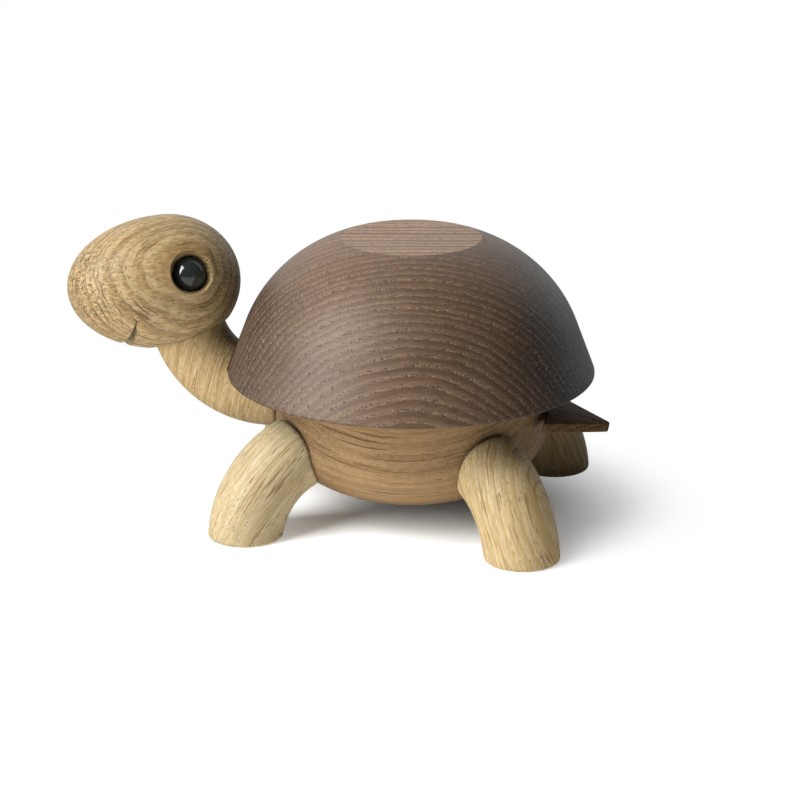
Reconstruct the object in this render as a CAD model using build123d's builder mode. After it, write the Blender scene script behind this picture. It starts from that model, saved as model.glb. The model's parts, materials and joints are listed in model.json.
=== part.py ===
# Turtle figurine in turned and bent wood: a dark dome on a bowl-shaped body, four
# elbow legs, an elbow neck with a turning egg head, bead eyes and a flat tail.
# X runs to the head, Y to the turtle's left, Z up from the floor. Lengths in millimetres.
import os
from math import acos, atan, cos, degrees, radians, sin, sqrt, tan

from build123d import *

# Fits shared by all pieces
glue_gap = 0.2  # between two glued faces
peg_clearance = 0.05  # round a dowel, pin or peg, on the radius
turn_gap = 0.2  # between the head's flat and the end of the neck
overrun = 2.0  # cuts run this far past the face that they open

# Shell: a turned dome with a leaning wall and a flat top
shell_radius = 55.0
shell_rim_height = 42.4
shell_rim_round = 0.8
shell_wall_lean = 20.9
shell_wall_run = 15.1
shell_top_height = 83.6
shell_top_radius = 20.9
shell_top_round = 0.8
shell_crown_slope = 17.0  # of the dome where it meets the flat top
shell_crown_share = 0.35  # length of the dome curve's handles, of its chord
shell_seat_depth = 5.0

# Body: a turned bowl that stands up into the shell
body_radius = 40.8
body_wall_foot = 25.6
body_bowl_depth = 21.6
body_flat_radius = 11.0

# Legs and neck: the same round stock, bent
stock_radius = 11.1
foot_circle_radius = 56.0
foot_lean = 5.3  # outward from upright, at the floor
foot_edge_round = 0.8
leg_bend_radius = 27.3
leg_dowel_drop = 3.5  # of the dowel below the leg's level root
front_leg_angle = 38.8
rear_leg_angle = 45.5
neck_root_drop = 8.3  # of its middle below the shell's rim
neck_bend_inset = 11.1  # of the bend's start inside the shell's edge
neck_bend_radius = 25.7
neck_bend_angle = 71.1

# Dowels and the head's pin
dowel_radius = 4.0
dowel_body_depth = 12.0
dowel_limb_depth = 7.0
pin_radius = 3.0
pin_neck_depth = 12.0
pin_head_depth = 14.0

# Head: an egg on its side, blunt end to the shell
head_radius = 20.2
head_nose_length = 31.0
head_back_length = 22.0
head_lead = 1.0
head_rise = 16.4
head_pitch = 16.4
head_rest_turn = 34.4
mouth_along = 15.3
mouth_drop = 9.6
mouth_width = 3.2

# Eyes: domed beads on the floor of tapered recesses
eye_radius = 5.2
eye_bulge = 4.0
eye_along = -1.9
eye_lift = 11.0
eye_recess_radius = 6.8  # at the head's surface
eye_recess_depth = 5.2
eye_peg_radius = 2.0
eye_peg_length = 6.0

# Tail: a thin triangular plate that droops from a tongue in the body
tail_length = 20.1  # of its tip past the body's wall
tail_tip_drop = 13.3  # of its upper face below the shell's rim
tail_droop = 10.7
tail_half_angle = 38.0
tail_half_width = 14.2
tail_thickness = 3.0
tail_tip_round = 1.2
tail_tongue_width = 9.0
tail_tongue_depth = 8.0

# Places that several pieces share
body_top_height = shell_rim_height + shell_seat_depth - glue_gap
leg_root_height = leg_bend_radius * (1 - sin(radians(foot_lean)))
leg_bend_start = foot_circle_radius - leg_bend_radius * cos(radians(foot_lean))
leg_dowel_height = leg_root_height - leg_dowel_drop
neck_root_height = shell_rim_height - neck_root_drop
neck_bend_start = shell_radius - neck_bend_inset
tail_reach = body_radius + tail_length
seat_lean = radians(neck_bend_angle)
neck_end = Vector(
    neck_bend_start + neck_bend_radius * sin(seat_lean),
    0,
    neck_root_height + neck_bend_radius * (1 - cos(seat_lean)),
)
neck_seat = Plane(
    origin=neck_end,
    x_dir=(sin(seat_lean), 0, -cos(seat_lean)),
    z_dir=(cos(seat_lean), 0, sin(seat_lean)),
)
head_turned = neck_seat.location * Location((0, 0, 0), (0, 0, head_rest_turn))
head_frame = Plane(head_turned * Location((head_lead, 0, head_rise), (0, -head_pitch, 0)))
head_section = Plane(head_frame.origin, x_dir=head_frame.x_dir, z_dir=-head_frame.y_dir)
tail_top = Plane(
    origin=(-tail_reach, 0, shell_rim_height - tail_tip_drop),
    x_dir=(cos(radians(tail_droop)), 0, sin(radians(tail_droop))),
    z_dir=(-sin(radians(tail_droop)), 0, cos(radians(tail_droop))),
)
tail_wall_run = (tail_reach - body_radius) / cos(radians(tail_droop))


def limb_plane(angle, height):
    # Stands on the shell's axis at a height, with x outward along the limb
    along = (cos(radians(angle)), sin(radians(angle)), 0)
    return Plane(origin=(0, 0, height), x_dir=along, z_dir=(0, 0, 1))


def eye_floor(side):
    # Floor of one eye's recess, facing out of the head
    out = Vector(0, side * cos(radians(eye_lift)), sin(radians(eye_lift)))
    surface = head_radius * sqrt(1 - (eye_along / head_back_length) ** 2)
    floor = Plane(
        origin=Vector(eye_along, 0, 0) + out * (surface - eye_recess_depth),
        x_dir=(1, 0, 0),
        z_dir=out,
    )
    return Plane(head_frame.location * floor.location)


def turn_body(grow, top, mode):
    # Bowl and wall turned about the shell's axis, larger by grow all round
    radius = body_radius + grow
    depth = body_bowl_depth + grow
    bowl_sweep = degrees(acos(body_flat_radius / radius))
    with BuildSketch(Plane.XZ) as outline:
        with BuildLine():
            centre = (0, body_wall_foot)
            bowl = EllipticalCenterArc(centre, radius, depth, -bowl_sweep, arc_size=bowl_sweep)
            Polyline(bowl @ 1, (radius, top), (0, top), (0, (bowl @ 0).Y), bowl @ 0)
        make_face()
    revolve(outline.sketch, axis=Axis.Z, mode=mode)


def bore_dowel(angle, height):
    # Hole across the joint between the body and a limb
    across = limb_plane(angle, height)
    start = Plane(
        across.origin + across.x_dir * (body_radius - dowel_body_depth),
        z_dir=across.x_dir,
    )
    with BuildSketch(start) as hole:
        Circle(dowel_radius + peg_clearance)
    extrude(hole.sketch, amount=dowel_body_depth + dowel_limb_depth, mode=Mode.SUBTRACT)


# Shell
with BuildPart() as shell:
    with BuildSketch(Plane.XZ):
        with BuildLine():
            wall_way = Vector(0, 1).rotate(Axis.Z, shell_wall_lean)
            crown_way = Vector(1, 0).rotate(Axis.Z, -shell_crown_slope)
            wall_foot = Vector(shell_radius, shell_rim_height + shell_rim_round)
            wall_head = wall_foot + wall_way * shell_wall_run
            crown_edge = Vector(shell_top_radius, shell_top_height)
            handle = (crown_edge - wall_head).length * shell_crown_share
            seat_height = shell_rim_height + shell_seat_depth
            seat_radius = body_radius + glue_gap
            Line(wall_foot, wall_head)
            Bezier(wall_head, wall_head + wall_way * handle, crown_edge + crown_way * handle, crown_edge)
            Polyline(
                crown_edge,
                (0, shell_top_height),
                (0, seat_height),
                (seat_radius, seat_height),
                (seat_radius, shell_rim_height),
                (shell_radius, shell_rim_height),
                wall_foot,
            )
        make_face()
    revolve(axis=Axis.Z)
    circles = shell.edges().filter_by(GeomType.CIRCLE)
    crown = circles.group_by(Axis.Z)[-1]
    fillet(crown, shell_top_round)
    rim = shell.edges().filter_by(GeomType.CIRCLE).group_by(Axis.Z)[0].sort_by(SortBy.RADIUS)[-1]
    fillet(rim, shell_rim_round / 2)

# Body
leg_places = {
    "front_left": front_leg_angle,
    "front_right": -front_leg_angle,
    "rear_left": 180 - rear_leg_angle,
    "rear_right": 180 + rear_leg_angle,
}
with BuildPart() as body:
    turn_body(0, body_top_height, Mode.ADD)
    for place_angle in leg_places.values():
        bore_dowel(place_angle, leg_dowel_height)
    bore_dowel(0, neck_root_height)
    with BuildSketch(tail_top.offset(peg_clearance)):
        slot_length = tail_tongue_depth + tail_wall_run + peg_clearance
        with Locations((slot_length / 2, 0)):
            Rectangle(slot_length, tail_tongue_width + 2 * peg_clearance)
    extrude(amount=-(tail_thickness + 2 * peg_clearance), mode=Mode.SUBTRACT)


# Leg: one elbow, level where it meets the body and cut off at the floor
leg_angle = leg_places["front_left"]
with BuildPart() as leg:
    level = limb_plane(leg_angle, leg_root_height)
    below_floor = overrun + stock_radius * sin(radians(foot_lean))
    with BuildLine(Plane(level.origin, x_dir=level.x_dir, z_dir=-level.y_dir)):
        root = Line((body_flat_radius, 0), (leg_bend_start, 0))
        sweep_angle = 90 - foot_lean + degrees(below_floor / leg_bend_radius)
        JernArc(root @ 1, root % 1, leg_bend_radius, -sweep_angle)
    with BuildSketch(Plane(level.origin + level.x_dir * body_flat_radius, z_dir=level.x_dir)):
        Circle(stock_radius)
    sweep()
    split(bisect_by=Plane.XY, keep=Keep.TOP)
    turn_body(glue_gap, body_top_height, Mode.SUBTRACT)
    bore_dowel(leg_angle, leg_dowel_height)
    fillet(leg.edges().group_by(Axis.Z)[0], foot_edge_round)


def cut_dowel(angle, height):
    # Round peg through the joint, a little short at both ends
    across = limb_plane(angle, height)
    start = body_radius - dowel_body_depth + glue_gap
    with BuildPart() as dowel:
        with BuildSketch(Plane(across.origin + across.x_dir * start, z_dir=across.x_dir)):
            Circle(dowel_radius)
        extrude(amount=dowel_body_depth + dowel_limb_depth - 2 * glue_gap)
    return dowel


leg_dowel = cut_dowel(leg_angle, leg_dowel_height)

# Neck, notched on top so that the shell's rim passes over it
with BuildPart() as neck:
    with BuildLine(Plane.XZ):
        root = Line((body_flat_radius, neck_root_height), (neck_bend_start, neck_root_height))
        JernArc(root @ 1, root % 1, neck_bend_radius, neck_bend_angle)
    with BuildSketch(Plane((body_flat_radius, 0, neck_root_height), z_dir=(1, 0, 0))):
        Circle(stock_radius)
    sweep()
    turn_body(glue_gap, body_top_height + overrun, Mode.SUBTRACT)
    with BuildSketch(Plane((0, 0, shell_rim_height - glue_gap))):
        below_wall = shell_rim_round + glue_gap
        Circle(shell_radius + glue_gap + below_wall * tan(radians(shell_wall_lean)))
    extrude(amount=shell_wall_run + below_wall, taper=shell_wall_lean, mode=Mode.SUBTRACT)
    bore_dowel(0, neck_root_height)
    with BuildSketch(neck_seat):
        Circle(pin_radius + peg_clearance)
    extrude(amount=-(pin_neck_depth + glue_gap), mode=Mode.SUBTRACT)

neck_dowel = cut_dowel(0, neck_root_height)

# Pin that the head turns on
with BuildPart() as head_pin:
    with BuildSketch(neck_seat.offset(-pin_neck_depth)):
        Circle(pin_radius)
    extrude(amount=pin_neck_depth + pin_head_depth)

# Head: egg, flat seat, pin bore, eye recesses and a tapered cut for the mouth
with BuildPart() as head:
    with BuildSketch(head_section):
        with BuildLine():
            EllipticalCenterArc((0, 0), head_nose_length, head_radius, 0, arc_size=90)
            EllipticalCenterArc((0, 0), head_back_length, head_radius, 90, arc_size=90)
            Line((-head_back_length, 0), (head_nose_length, 0))
        make_face()
    revolve(axis=Axis(head_frame.origin, head_frame.x_dir))
    split(bisect_by=neck_seat.offset(turn_gap), keep=Keep.TOP)
    with BuildSketch(neck_seat):
        Circle(pin_radius + peg_clearance)
    extrude(amount=pin_head_depth + turn_gap, mode=Mode.SUBTRACT)
    for side in (1, -1):
        with BuildSketch(eye_floor(side)):
            Circle(eye_radius + glue_gap)
        flare = degrees(atan((eye_recess_radius - eye_radius - glue_gap) / eye_recess_depth))
        extrude(amount=eye_recess_depth + overrun, taper=-flare, mode=Mode.SUBTRACT)
        with BuildSketch(eye_floor(side)):
            Circle(eye_peg_radius + peg_clearance)
        extrude(amount=-(eye_peg_length + glue_gap), mode=Mode.SUBTRACT)
    with BuildSketch(head_section):
        with BuildLine():
            Polyline(
                (mouth_along, -mouth_drop),
                (mouth_along - mouth_width / 2, -head_radius),
                (mouth_along + mouth_width / 2, -head_radius),
                close=True,
            )
        make_face()
    extrude(amount=head_radius, both=True, mode=Mode.SUBTRACT)


def set_eye(side):
    # Domed bead with a peg behind it
    seat = eye_floor(side).offset(glue_gap)
    ball_radius = (eye_radius**2 + eye_bulge**2) / (2 * eye_bulge)
    with BuildPart() as eye:
        with Locations(seat.offset(eye_bulge - ball_radius).location):
            Sphere(ball_radius)
        split(bisect_by=seat, keep=Keep.TOP)
        with BuildSketch(seat):
            Circle(eye_peg_radius)
        extrude(amount=-eye_peg_length)
    return eye


eyes = {"left": set_eye(1), "right": set_eye(-1)}

# Tail
with BuildPart() as tail:
    with BuildSketch(tail_top) as outline:
        tail_base = tail_half_width / tan(radians(tail_half_angle))
        with BuildLine():
            Polyline(
                (0, 0),
                (tail_base, tail_half_width),
                (tail_base, -tail_half_width),
                close=True,
            )
        make_face()
        fillet(outline.vertices().sort_by(Axis.X)[0], tail_tip_round)
    extrude(amount=-tail_thickness)
    turn_body(glue_gap, body_top_height, Mode.SUBTRACT)
    with BuildSketch(tail_top):
        tongue_start = tail_wall_run / 2
        tongue_length = tail_tongue_depth + tail_wall_run - tongue_start
        with Locations((tongue_start + tongue_length / 2, 0)):
            Rectangle(tongue_length, tail_tongue_width)
    extrude(amount=-tail_thickness)

# All pieces by name; the legs and their dowels are one shape set round the shell's axis
pieces = {
    "shell": shell.part,
    "body": body.part,
    "neck": neck.part,
    "neck_dowel": neck_dowel.part,
    "head": head.part,
    "head_pin": head_pin.part,
    "eye_left": eyes["left"].part,
    "eye_right": eyes["right"].part,
    "tail": tail.part,
}
for place, angle in leg_places.items():
    pieces[f"leg_{place}"] = leg.part.rotate(Axis.Z, angle - leg_angle)
    pieces[f"leg_dowel_{place}"] = leg_dowel.part.rotate(Axis.Z, angle - leg_angle)

# The origin goes under the middle of the whole figure, on the floor
figure = Compound(list(pieces.values())).bounding_box()
to_origin = Location((-figure.center().X, -figure.center().Y, -figure.min.Z))
os.makedirs("parts", exist_ok=True)
for name, piece in pieces.items():
    placed = piece.moved(to_origin)
    placed.label = name
    export_step(placed, f"parts/{name}.step")
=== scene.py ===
import json
import math
import bmesh
import bpy
from mathutils import Matrix, Vector


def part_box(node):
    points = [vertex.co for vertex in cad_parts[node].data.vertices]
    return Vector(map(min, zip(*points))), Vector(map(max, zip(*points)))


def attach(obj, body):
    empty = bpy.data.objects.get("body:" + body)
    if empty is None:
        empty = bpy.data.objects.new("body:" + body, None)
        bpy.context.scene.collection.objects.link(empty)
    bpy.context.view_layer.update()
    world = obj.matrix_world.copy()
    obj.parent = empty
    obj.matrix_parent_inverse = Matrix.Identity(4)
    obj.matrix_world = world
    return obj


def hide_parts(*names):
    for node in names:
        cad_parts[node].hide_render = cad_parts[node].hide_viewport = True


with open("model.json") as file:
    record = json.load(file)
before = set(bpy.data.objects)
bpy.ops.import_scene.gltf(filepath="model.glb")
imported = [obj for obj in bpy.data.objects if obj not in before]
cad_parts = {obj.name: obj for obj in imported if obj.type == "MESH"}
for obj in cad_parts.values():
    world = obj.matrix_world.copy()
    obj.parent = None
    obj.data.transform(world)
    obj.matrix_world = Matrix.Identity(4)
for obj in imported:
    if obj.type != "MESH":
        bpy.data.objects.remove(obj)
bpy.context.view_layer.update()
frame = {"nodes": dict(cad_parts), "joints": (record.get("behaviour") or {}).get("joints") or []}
print("frame loaded with", len(frame["nodes"]), "nodes")

# places that several pieces share, read from the frame
shellLow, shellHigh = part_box("shell")
bodyLow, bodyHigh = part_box("body")
axisX = (shellLow.x + shellHigh.x) / 2  # turning axis of shell and body
shellRadius = (shellHigh.y - shellLow.y) / 2
bodyRadius = (bodyHigh.y - bodyLow.y) / 2
rimHeight = shellLow.z
headTurn = frame["joints"][0]
neckEnd = Vector(headTurn["pos_m"])
pinWay = Vector(headTurn["axis"]).normalized()
sideWay = Vector((0, 1, 0))  # to the turtle's left
leadWay = sideWay.cross(pinWay).normalized()  # forward, square to the pin
axisPlace = Matrix.Translation((axisX, 0, 0))
pinPlace = Matrix.Translation(neckEnd) @ Matrix((leadWay, sideWay, pinWay)).transposed().to_4x4()
glueGap = 0.0002
pointRadius = 1e-7  # a smaller ring is one point on the axis


# outlines and meshes
def roundedOutline(corners, steps=6):
    # corners are (radius, height, rounding); a rounding of zero stays a plain point
    points = []
    for index, (x, z, rounding) in enumerate(corners):
        here = Vector((x, z))
        if not rounding or index in (0, len(corners) - 1):
            points.append(here)
            continue
        toLast = (Vector(corners[index - 1][:2]) - here).normalized()
        toNext = (Vector(corners[index + 1][:2]) - here).normalized()
        half = toLast.angle(toNext) / 2
        reach = rounding / math.tan(half)
        middle = here + (toLast + toNext).normalized() * (rounding / math.sin(half))
        start, end = here + toLast * reach - middle, here + toNext * reach - middle
        for step in range(steps + 1):
            share = step / steps
            points.append(middle + (start * (1 - share) + end * share).normalized() * rounding)
    return points


def latheMesh(outline, place, steps=256):
    # turns (radius, height) points about the local Z of place
    mesh = bmesh.new()
    rings = []
    for radius, height in outline:
        if radius < pointRadius:
            rings.append([mesh.verts.new(place @ Vector((0, 0, height)))])
            continue
        ring = []
        for step in range(steps):
            angle = 2 * math.pi * step / steps
            spot = Vector((radius * math.cos(angle), radius * math.sin(angle), height))
            ring.append(mesh.verts.new(place @ spot))
        rings.append(ring)
    for lower, upper in zip(rings, rings[1:]):
        for step in range(steps):
            after = step + 1
            square = ((lower, step), (lower, after), (upper, after), (upper, step))
            corners = list(dict.fromkeys(ring[index % len(ring)] for ring, index in square))
            if len(corners) > 2:
                mesh.faces.new(corners)
    return mesh


def meshObject(name, mesh, place=None):
    bmesh.ops.recalc_face_normals(mesh, faces=mesh.faces)
    data = bpy.data.meshes.new(name)
    mesh.to_mesh(data)
    mesh.free()
    made = bpy.data.objects.new(name, data)
    if place is not None:
        made.matrix_world = place
    bpy.context.scene.collection.objects.link(made)
    return made


def finishPiece(piece, body, node, material, sharpAngle=35):
    piece.data.polygons.foreach_set("use_smooth", [True] * len(piece.data.polygons))
    piece.data.set_sharp_from_angle(angle=math.radians(sharpAngle))
    piece.data.materials.clear()
    piece.data.materials.append(material)
    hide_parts(node)
    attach(piece, body)
    return piece


def cutPiece(piece, cutter):
    # exact cut, kept in the mesh
    tool = piece.modifiers.new("cut", "BOOLEAN")
    tool.operation = "DIFFERENCE"
    tool.solver = "EXACT"
    tool.object = cutter
    bpy.context.view_layer.update()
    cut = bpy.data.meshes.new_from_object(piece.evaluated_get(bpy.context.evaluated_depsgraph_get()))
    piece.modifiers.clear()
    piece.data = cut
    bpy.data.objects.remove(cutter)


def edgeSteps(rounding, count=6):
    # how far along, and how far in, the rings of a rounded end lie
    angles = [math.pi / 2 * step / count for step in range(count + 1)]
    return [(rounding * (1 - math.sin(a)), rounding * (1 - math.cos(a))) for a in reversed(angles)]


def elbowMesh(route, radius, startLength, stopLength, endRounds, around=96, rings=56):
    # round stock along a route; each line of the stock has its own start and end
    mesh = bmesh.new()
    startEdge, endEdge = edgeSteps(endRounds[0]), edgeSteps(endRounds[1])
    lines = []
    for step in range(around):
        angle = 2 * math.pi * step / around
        end = stopLength(angle)
        stations = [(startLength(angle, radius - inset) + along, inset) for along, inset in startEdge]
        first, last = stations[-1][0], end - endEdge[-1][0]
        stations += [(first + (last - first) * ring / rings, 0) for ring in range(1, rings)]
        stations += [(end - along, inset) for along, inset in reversed(endEdge)]
        line = []
        for along, inset in stations:
            middle, outer, side = route(along)
            reach = radius - inset
            line.append(mesh.verts.new(middle + (outer * math.cos(angle) + side * math.sin(angle)) * reach))
        lines.append(line)
    for index, line in enumerate(lines):
        beside = lines[(index + 1) % around]
        for ring in range(len(line) - 1):
            mesh.faces.new((line[ring], line[ring + 1], beside[ring + 1], beside[ring]))
    for ring, order in ((0, 1), (-1, -1)):
        rim = [line[ring] for line in lines]
        hub = mesh.verts.new(sum((v.co for v in rim), Vector()) / around)
        for index in range(around):
            mesh.faces.new((rim[index], rim[(index + order) % around], hub))
    return mesh


# wood and other finishes
def link(tree, value, socket):
    if isinstance(value, bpy.types.NodeSocket):
        tree.links.new(value, socket)
    else:
        socket.default_value = value


def sums(tree, operation, *values):
    node = tree.nodes.new("ShaderNodeMath")
    node.operation = operation
    for value, socket in zip(values, node.inputs):
        link(tree, value, socket)
    return node.outputs[0]


def ease(tree, value, low, high, outLow=0.0, outHigh=1.0):
    node = tree.nodes.new("ShaderNodeMapRange")
    node.interpolation_type = "SMOOTHSTEP"
    settings = {"Value": value, "From Min": low, "From Max": high, "To Min": outLow, "To Max": outHigh}
    for name, setting in settings.items():
        link(tree, setting, node.inputs[name])
    return node.outputs["Result"]


def stretched(tree, place, along, across, through):
    # a place measured in cells of those lengths
    node = tree.nodes.new("ShaderNodeVectorMath")
    node.operation = "DIVIDE"
    tree.links.new(place, node.inputs[0])
    joined = tree.nodes.new("ShaderNodeCombineXYZ")
    for value, socket in zip((along, across, through), joined.inputs):
        link(tree, value, socket)
    tree.links.new(joined.outputs[0], node.inputs[1])
    return node.outputs[0]


def noise(tree, place, detail=2.0, roughness=0.5):
    node = tree.nodes.new("ShaderNodeTexNoise")
    tree.links.new(place, node.inputs["Vector"])
    node.inputs["Scale"].default_value = 1.0
    node.inputs["Detail"].default_value = detail
    node.inputs["Roughness"].default_value = roughness
    return node.outputs["Fac"]


def cells(tree, place):
    node = tree.nodes.new("ShaderNodeTexVoronoi")
    tree.links.new(place, node.inputs["Vector"])
    node.inputs["Scale"].default_value = 1.0
    return node.outputs["Distance"], node.outputs["Color"]


def blend(tree, amount, first, second, kind="MIX"):
    node = tree.nodes.new("ShaderNodeMix")
    node.data_type = "RGBA"
    node.blend_type = kind
    link(tree, amount, node.inputs[0])
    link(tree, first, node.inputs[6])
    link(tree, second, node.inputs[7])
    return node.outputs[2]


def facing(tree, place, way):
    # how far a place or a direction lies along a way
    node = tree.nodes.new("ShaderNodeVectorMath")
    node.operation = "DOT_PRODUCT"
    node.inputs[1].default_value = way
    tree.links.new(place, node.inputs[0])
    return node.outputs["Value"]


def seenRays(tree, path):
    # rays that an eye follows: straight, mirrored or through glass
    bent = sums(tree, "MAXIMUM", path.outputs["Is Glossy Ray"], path.outputs["Is Transmission Ray"])
    return sums(tree, "MAXIMUM", path.outputs["Is Camera Ray"], bent)


def newMaterial(name):
    material = bpy.data.materials.new(name)
    material.use_nodes = True
    return material, material.node_tree, material.node_tree.nodes["Principled BSDF"]


def newGroup(name, inputs, outputs):
    group = bpy.data.node_groups.new(name, "ShaderNodeTree")
    for label, kind, value in inputs:
        socket = group.interface.new_socket(label, in_out="INPUT", socket_type="NodeSocket" + kind)
        socket.default_value = value
    for label, kind in outputs:
        group.interface.new_socket(label, in_out="OUTPUT", socket_type="NodeSocket" + kind)
    return group, group.nodes.new("NodeGroupInput").outputs, group.nodes.new("NodeGroupOutput").inputs


# what all the woods share, in millimetres; cells lie along the grain, across and along the rings
woodValues = {
    "waverCell": (45.0, 14.0, 14.0),
    "rippleCell": (3.0, 1.2, 1.2),
    "ripple": 0.35,
    "yearNoise": 0.16,  # how soon wide years turn to narrow ones
    "yearSwing": 2.5,
    "growthEnd": 60.0,  # rings widen outward up to here
    "lateRise": (0.18, 0.8),  # these six are shares of a year
    "lateFall": (1.0, 0.95),
    "earlyFall": (0.45, 0.12),
    "earlyRise": (0.94, 1.0),
    "lineRise": (0.86, 0.93),
    "lineFall": (1.0, 0.97),
    "poreLeast": 0.55,
    "poreSpread": 0.7,
    "poreCover": 0.85,
    "rayCell": (9.0, 0.42),
    "raySpan": (0.58, 0.68),
    "streakCell": (0.5, 14.0),
    "streakSpan": (0.60, 0.70),
    "fibreCell": (9.0, 0.7, 0.7),
    "patchCell": (60.0, 18.0, 18.0),
    "paintedSideShadeStep": 0.01,
    "fleckSpan": (0.65, 1.2),  # from side grain to end grain
    "paintedTopSpan": (1.0, 0.35),  # from early to late wood
    "roughness": 0.40,
    "poreRough": 0.25,
    "fibreRough": 0.16,
    "fibreHeight": 0.25,
    "lateHeight": 0.18,
    "fleckHeight": 0.5,
}


def solidWoodGroup():
    # place is in millimetres: x along the grain, y across the rings, z along the rings
    group, given, made = newGroup(
        "solidWood",
        (
            ("Place", "Vector", (0, 0, 0)),
            ("Ring Width", "Float", 3.0),
            ("Ring Growth", "Float", 0.0),
            ("Pith Distance", "Float", 120.0),
            ("Waver", "Float", 2.0),
            ("Uneven", "Float", 0.8),
            ("Line Amount", "Float", 0.0),
            ("Pore Length", "Float", 4.0),
            ("Pore Width", "Float", 0.5),
            ("Pore Size", "Float", 0.4),
            ("Stray Pores", "Float", 0.12),
            ("Pale Share", "Float", 0.0),
            ("Ray Amount", "Float", 0.4),
            ("Ray Length", "Float", 4.0),
            ("Streak Amount", "Float", 0.0),
            ("Streak Length", "Float", 12.0),
            ("Fibre", "Float", 0.25),
            ("Patch", "Float", 0.3),
            ("Painted Side Shade", "Float", 0.0),
            ("Fleck", "Float", 0.2),
            ("Fleck Length", "Float", 1.5),
            ("Fleck Width", "Float", 0.45),
            ("End", "Float", 0.0),
            ("End Dark", "Float", 0.3),
            ("Face", "Float", 0.0),
            ("Painted Top Light", "Float", 0.0),
            ("Early", "Color", (0.6, 0.4, 0.2, 1)),
            ("Late", "Color", (0.5, 0.3, 0.15, 1)),
            ("Pore", "Color", (0.2, 0.1, 0.05, 1)),
            ("Pale", "Color", (0.7, 0.5, 0.3, 1)),
        ),
        (("Color", "Color"), ("Roughness", "Float"), ("Height", "Float")),
    )
    values = woodValues
    place = given["Place"]

    def plus(first, second):
        return sums(group, "ADD", first, second)

    def minus(first, second):
        return sums(group, "SUBTRACT", first, second)

    def times(first, second):
        return sums(group, "MULTIPLY", first, second)

    def centred(value, scale):
        return times(minus(value, 0.5), scale)

    def cellNoise(cell, *settings):
        return noise(group, stretched(group, place, *cell), *settings)

    def yearMask(name):
        return ease(group, year, *values[name])

    apart = group.nodes.new("ShaderNodeSeparateXYZ")
    group.links.new(place, apart.inputs[0])
    along, outward, sideways = apart.outputs
    fromPith = plus(outward, given["Pith Distance"])
    across = sums(group, "SQRT", plus(times(fromPith, fromPith), times(sideways, sideways)))
    across = minus(across, given["Pith Distance"])
    across = plus(across, centred(cellNoise(values["waverCell"], 2.0), given["Waver"]))
    across = plus(across, centred(cellNoise(values["rippleCell"], 1.0), values["ripple"]))
    uneven = group.nodes.new("ShaderNodeTexNoise")  # wide years and narrow years
    uneven.noise_dimensions = "1D"
    uneven.inputs["Scale"].default_value = values["yearNoise"]
    group.links.new(across, uneven.inputs["W"])
    years = sums(group, "DIVIDE", across, given["Ring Width"])
    held = sums(group, "MINIMUM", across, values["growthEnd"])
    slower = times(times(held, minus(across, times(held, 0.5))), given["Ring Growth"])
    swing = centred(uneven.outputs["Fac"], times(given["Uneven"], values["yearSwing"]))
    year = sums(group, "FRACT", plus(minus(years, slower), swing))
    late = times(yearMask("lateRise"), yearMask("lateFall"))
    early = sums(group, "MAXIMUM", yearMask("earlyFall"), yearMask("earlyRise"))
    yearLine = times(times(yearMask("lineRise"), yearMask("lineFall")), given["Line Amount"])

    poreCell = (given["Pore Length"], given["Pore Width"], given["Pore Width"])
    poreCentre, poreTint = cells(group, stretched(group, place, *poreCell))
    tint = group.nodes.new("ShaderNodeSeparateColor")
    group.links.new(poreTint, tint.inputs[0])
    poreReach = plus(times(early, given["Pore Size"]), given["Stray Pores"])
    poreReach = times(poreReach, plus(times(tint.outputs[1], values["poreSpread"]), values["poreLeast"]))
    pores = ease(group, poreCentre, poreReach, times(poreReach, 0.5))
    rayNoise = cellNoise((given["Ray Length"], *values["rayCell"]), 1.0)
    rays = times(ease(group, rayNoise, *values["raySpan"]), given["Ray Amount"])
    alongRings = group.nodes.new("ShaderNodeCombineXYZ")  # grain, ring and along the ring
    for value, socket in zip((along, across, sideways), alongRings.inputs):
        group.links.new(value, socket)
    streakPlace = stretched(group, alongRings.outputs[0], given["Streak Length"], *values["streakCell"])
    streaks = ease(group, noise(group, streakPlace, 1.0), *values["streakSpan"])
    streaks = times(streaks, given["Streak Amount"])
    fibre = cellNoise(values["fibreCell"], 3.0, 0.65)
    patch = cellNoise(values["patchCell"], 2.0)
    fleckCell = (given["Fleck Length"], given["Fleck Width"], given["Fleck Width"])
    fleckTint = cells(group, stretched(group, place, *fleckCell))[1]
    fleck = group.nodes.new("ShaderNodeSeparateColor")
    group.links.new(fleckTint, fleck.inputs[0])
    fleckAmount = times(given["Fleck"], ease(group, given["End"], 0.0, 1.0, *values["fleckSpan"]))

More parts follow.
